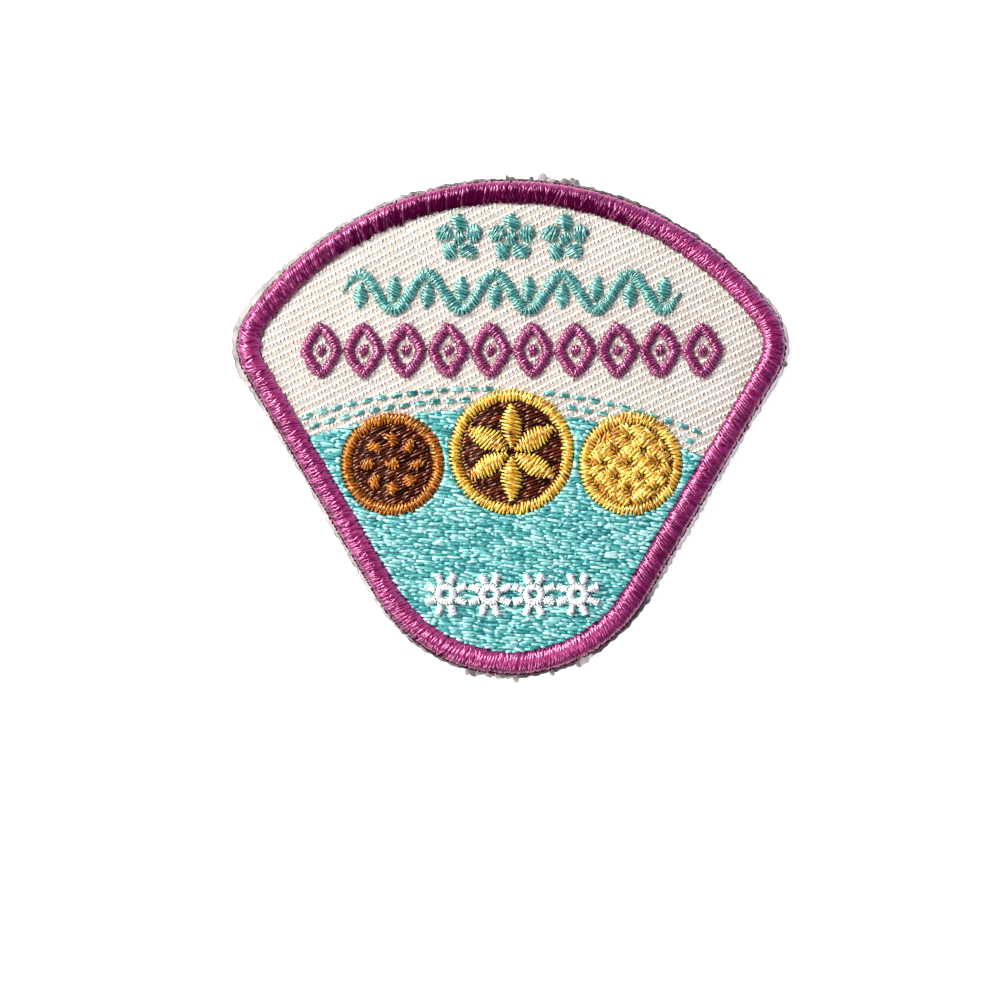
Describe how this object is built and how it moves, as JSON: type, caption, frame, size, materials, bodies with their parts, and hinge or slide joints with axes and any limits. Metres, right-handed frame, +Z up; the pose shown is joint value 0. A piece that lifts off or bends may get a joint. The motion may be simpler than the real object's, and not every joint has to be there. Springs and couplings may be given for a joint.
{
  "type": "embroidered patch",
  "caption": "Fan-shaped embroidered cloth patch with a thick overlocked border, rows of flowers, vine and lozenges, and round medallions on a teal hill, lying flat.",
  "frame": {"origin": "under the middle of the patch, on the flat back that rests on the surface", "axes": "+X across the patch to the right of who reads it, +Y towards the arched top, +Z up out of the embroidered face"},
  "size_m": [0.071, 0.064, 0.003],
  "materials": {
    "backing_film": "thin whitish heat-seal film, torn at its edge",
    "cream_twill": "cream twill weave",
    "orchid_thread": "glossy rayon thread, magenta purple",
    "aqua_thread": "glossy rayon thread, aqua teal filling stitches",
    "teal_thread": "glossy rayon thread, teal satin stitches",
    "plum_thread": "glossy rayon thread, plum satin stitches",
    "white_thread": "glossy white thread",
    "gold_thread": "glossy rayon thread, gold satin stitches",
    "amber_thread": "glossy rayon thread, amber filling stitches",
    "straw_thread": "glossy rayon thread, straw yellow satin stitches",
    "cocoa_thread": "glossy rayon thread, dark brown filling stitches",
    "rust_thread": "glossy rayon thread, rust satin stitches"
  },
  "bodies": {
    "root": {"backing_film": "backing_film", "twill_ground": "cream_twill", "merrow_border": "orchid_thread", "hill_fill": "aqua_thread", "blossom_row": "teal_thread", "vine_stem": "teal_thread", "vine_leaves": "teal_thread", "lozenge_row": "plum_thread", "star_row": "white_thread", "rosette_ground": "cocoa_thread", "rosette_ring": "gold_thread", "rosette_petals": "gold_thread", "fleck_ground": "cocoa_thread", "fleck_ring": "rust_thread", "flecks": "rust_thread", "lattice_ground": "amber_thread", "lattice_ring": "straw_thread", "lattice_bars": "straw_thread"}
  },
  "joints": []
}
